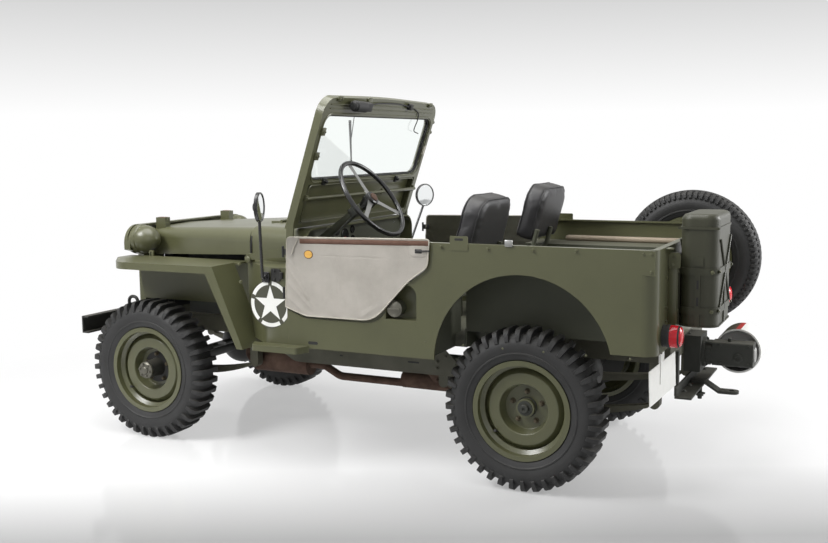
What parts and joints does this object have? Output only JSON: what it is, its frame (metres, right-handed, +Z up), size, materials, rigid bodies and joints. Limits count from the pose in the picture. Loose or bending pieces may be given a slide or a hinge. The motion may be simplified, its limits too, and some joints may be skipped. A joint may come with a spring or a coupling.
{
  "type": "army 4x4 car",
  "caption": "Open army 4x4 car with folding windscreen, canvas half doors, spare wheel, fuel can and a rear belt pulley",
  "frame": {"origin": "on the ground, half way between the front bumper and the back of the belt pulley, on the centre line", "axes": "+X forward, +Y to the car's left, +Z up"},
  "size_m": [3.338, 1.8757, 1.7365],
  "materials": {
    "olive": "satin",
    "chassis_black": "satin",
    "tyre_rubber": "matte",
    "cast_grey": "matte",
    "bare_steel": "satin",
    "rust_brown": "matte",
    "canvas": "matte",
    "black_vinyl": "satin",
    "clear_glass": "gloss",
    "black_plastic": "gloss",
    "plate_white": "satin",
    "radiator_black": "matte"
  },
  "bodies": {
    "car": {"spare_wheel": "olive", "spare_tyre": "tyre_rubber", "chassis_frame": "olive", "front_bumper": "olive", "front_axle": "chassis_black", "rear_axle": "chassis_black", "leaf_springs": "chassis_black", "power_train": "cast_grey", "tub_side_left": "olive", "tub_side_right": "olive", "tail_panel": "olive", "wheelhouses": "olive", "floor": "olive", "dash_panel": "olive", "cowl": "olive", "grille": "olive", "radiator": "radiator_black", "head_lamps": "olive", "fender_left": "olive", "fender_right": "olive", "mirrors": "black_plastic", "driver_seat": "black_vinyl", "passenger_seat": "black_vinyl", "seat_frames": "olive", "side_steps": "olive", "exhaust": "rust_brown", "spare_carrier": "olive", "fuel_can": "olive", "can_rack": "olive", "tail_lamps": "black_plastic", "power_take_off": "olive", "drawbar": "chassis_black", "licence_plate": "plate_white", "fuel_filler": "olive", "column_and_levers": "olive"},
    "knuckle_left": {"knuckle_left": "chassis_black"},
    "knuckle_right": {"knuckle_right": "chassis_black"},
    "tie_rod": {"tie_rod": "chassis_black"},
    "wheel_front_left": {"wheel_front_left": "olive", "tyre_front_left": "tyre_rubber"},
    "wheel_front_right": {"wheel_front_right": "olive", "tyre_front_right": "tyre_rubber"},
    "wheel_rear_left": {"wheel_rear_left": "olive", "tyre_rear_left": "tyre_rubber"},
    "wheel_rear_right": {"wheel_rear_right": "olive", "tyre_rear_right": "tyre_rubber"},
    "steering_wheel": {"steering_wheel": "black_plastic"},
    "windscreen": {"windscreen_frame": "olive", "windscreen_glass": "clear_glass"},
    "hood": {"hood": "olive"},
    "door_left": {"door_left": "canvas"},
    "door_right": {"door_right": "canvas"},
    "belt_pulley": {"belt_pulley": "olive"}
  },
  "joints": [
    {"name": "steer_left", "type": "hinge", "parent": "car", "child": "knuckle_left", "pos_m": [1.248, 0.49, 0.358], "axis": [0, 0, 1], "range_deg": [-26, 26]},
    {"name": "steer_right", "type": "hinge", "parent": "car", "child": "knuckle_right", "pos_m": [1.248, -0.49, 0.358], "axis": [0, 0, 1], "range_deg": [-26, 26]},
    {"name": "tie_rod_slide", "type": "slide", "parent": "car", "child": "tie_rod", "axis": [0, 1, 0], "range_m": [-0.075, 0.075]},
    {"name": "steering_turn", "type": "hinge", "parent": "car", "child": "steering_wheel", "pos_m": [0.078, 0.38, 1.24], "axis": [-0.809, 0, 0.5878], "range_deg": [-365, 365]},
    {"name": "roll_front_left", "type": "hinge", "parent": "knuckle_left", "child": "wheel_front_left", "pos_m": [1.248, 0.613, 0.358], "axis": [0, 1, 0], "continuous": true},
    {"name": "roll_front_right", "type": "hinge", "parent": "knuckle_right", "child": "wheel_front_right", "pos_m": [1.248, -0.613, 0.358], "axis": [0, 1, 0], "continuous": true},
    {"name": "roll_rear_left", "type": "hinge", "parent": "car", "child": "wheel_rear_left", "pos_m": [-0.786, 0.613, 0.358], "axis": [0, 1, 0], "continuous": true},
    {"name": "roll_rear_right", "type": "hinge", "parent": "car", "child": "wheel_rear_right", "pos_m": [-0.786, -0.613, 0.358], "axis": [0, 1, 0], "continuous": true},
    {"name": "hood_lift", "type": "hinge", "parent": "car", "child": "hood", "pos_m": [0.697, 0, 1.1053], "axis": [0, -1, 0], "range_deg": [0, 95]},
    {"name": "windscreen_fold", "type": "hinge", "parent": "car", "child": "windscreen", "pos_m": [0.647, 0, 0.957], "axis": [0, -1, 0], "range_deg": [-108.7, 0]},
    {"name": "door_left_swing", "type": "hinge", "parent": "car", "child": "door_left", "pos_m": [0.348, 0.7533, 0.9], "axis": [0, 0, -1], "range_deg": [0, 85]},
    {"name": "door_right_swing", "type": "hinge", "parent": "car", "child": "door_right", "pos_m": [0.348, -0.7533, 0.9], "axis": [0, 0, 1], "range_deg": [0, 85]},
    {"name": "belt_pulley_spin", "type": "hinge", "parent": "car", "child": "belt_pulley", "pos_m": [-1.567, -0.147, 0.545], "axis": [0, 1, 0], "continuous": true}
  ],
  "couplings": [
    {"joint": "steer_right", "follows": "steer_left", "ratio": 1},
    {"joint": "tie_rod_slide", "follows": "steer_left", "m_per_rad": -0.16},
    {"joint": "steering_turn", "follows": "steer_left", "ratio": 14}
  ]
}
